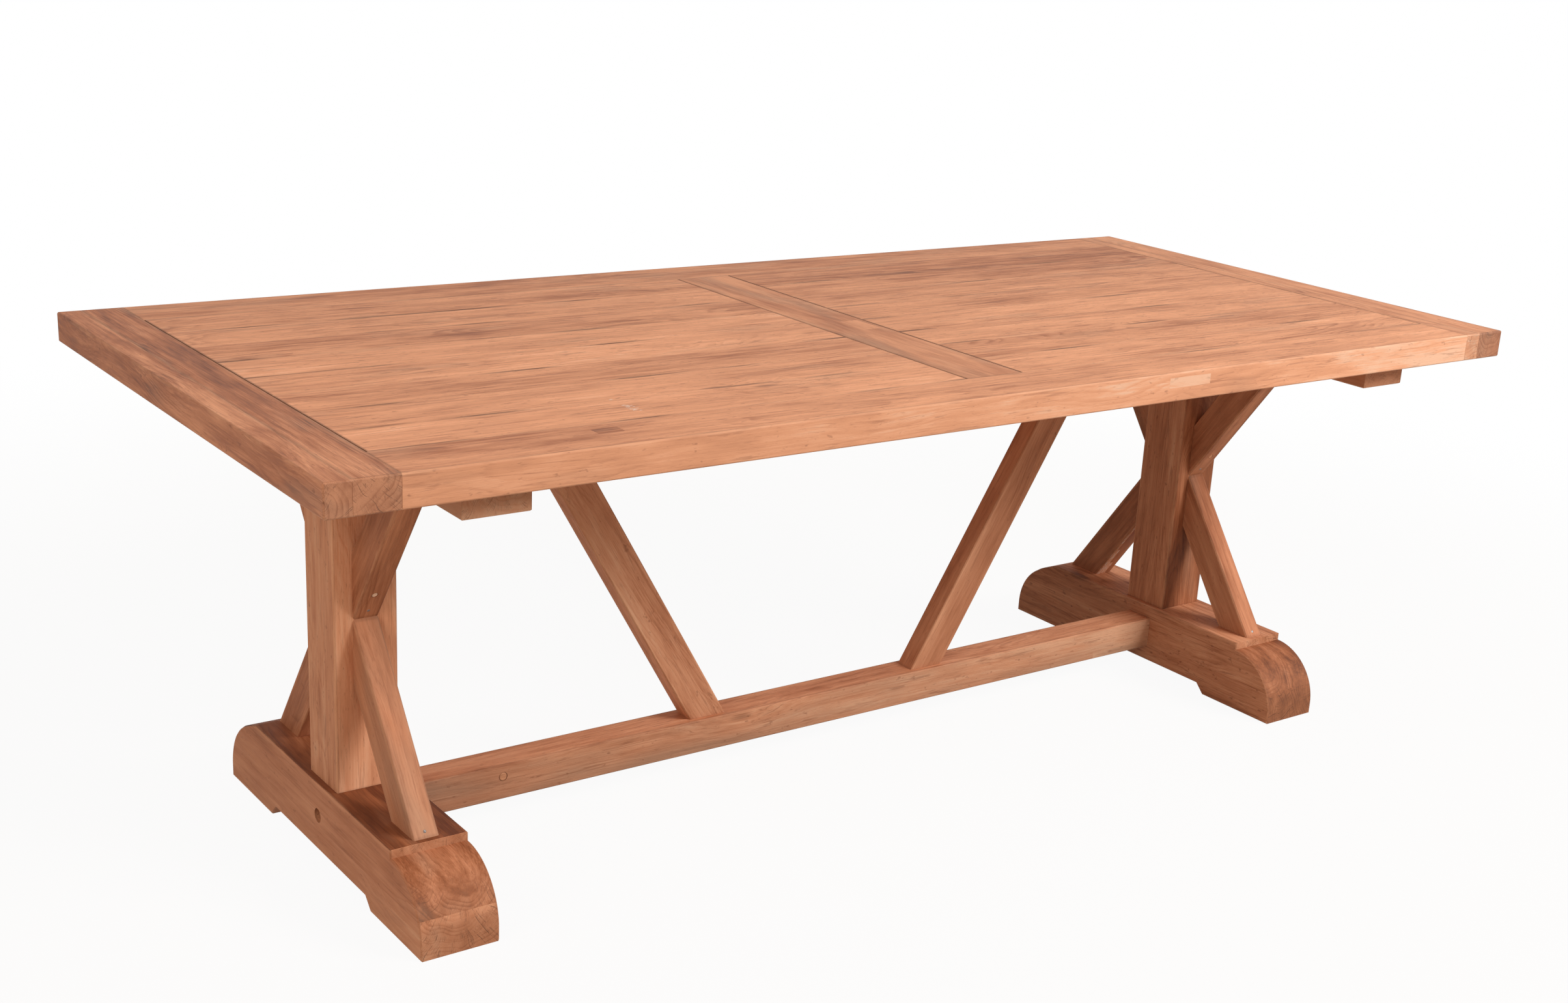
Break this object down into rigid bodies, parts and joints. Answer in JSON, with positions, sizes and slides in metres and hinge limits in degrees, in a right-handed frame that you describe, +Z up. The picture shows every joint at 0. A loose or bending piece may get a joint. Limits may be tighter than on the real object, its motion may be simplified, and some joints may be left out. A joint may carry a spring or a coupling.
{
  "type": "garden table",
  "caption": "Long rustic trestle garden table: a framed plank top on braced posts with round-nosed feet, tied together by a low stretcher and leaning diagonals.",
  "frame": {"origin": "on the floor under the middle of the tabletop", "axes": "+X along the table to its right end, +Y across it to the back, +Z up"},
  "size_m": [2.2, 1, 0.75],
  "materials": {
    "teak_planks": "matt, sanded",
    "teak_top_frame": "matt, sanded",
    "teak_trestle": "matt, sanded",
    "teak_plugs": "matt, sanded",
    "zinc_plated_steel": "satin"
  },
  "bodies": {
    "root": {"bolster_left": "teak_trestle", "bolster_right": "teak_trestle", "brace_left_back_lower": "teak_trestle", "brace_left_back_upper": "teak_trestle", "brace_left_front_lower": "teak_trestle", "brace_left_front_upper": "teak_trestle", "brace_nails": "zinc_plated_steel", "brace_plugs": "teak_plugs", "brace_right_back_lower": "teak_trestle", "brace_right_back_upper": "teak_trestle", "brace_right_front_lower": "teak_trestle", "brace_right_front_upper": "teak_trestle", "brace_screws": "zinc_plated_steel", "centre_board": "teak_top_frame", "coach_screws": "zinc_plated_steel", "coach_washers": "zinc_plated_steel", "diagonal_left": "teak_trestle", "diagonal_right": "teak_trestle", "diagonal_screws": "zinc_plated_steel", "end_board_left_inner_strip": "teak_top_frame", "end_board_left_outer_strip": "teak_top_frame", "end_board_right_inner_strip": "teak_top_frame", "end_board_right_outer_strip": "teak_top_frame", "foot_left": "teak_trestle", "foot_right": "teak_trestle", "plank_left_1": "teak_planks", "plank_left_2": "teak_planks", "plank_left_3": "teak_planks", "plank_left_4": "teak_planks", "plank_left_5": "teak_planks", "plank_left_6": "teak_planks", "plank_left_7": "teak_planks", "plank_left_8": "teak_planks", "plank_right_1": "teak_planks", "plank_right_2": "teak_planks", "plank_right_3": "teak_planks", "plank_right_4": "teak_planks", "plank_right_5": "teak_planks", "plank_right_6": "teak_planks", "plank_right_7": "teak_planks", "plank_right_8": "teak_planks", "post_left": "teak_trestle", "post_right": "teak_trestle", "rail_back": "teak_top_frame", "rail_front": "teak_top_frame", "stretcher": "teak_trestle", "stretcher_plug": "teak_plugs", "top_screws": "zinc_plated_steel"}
  },
  "joints": []
}
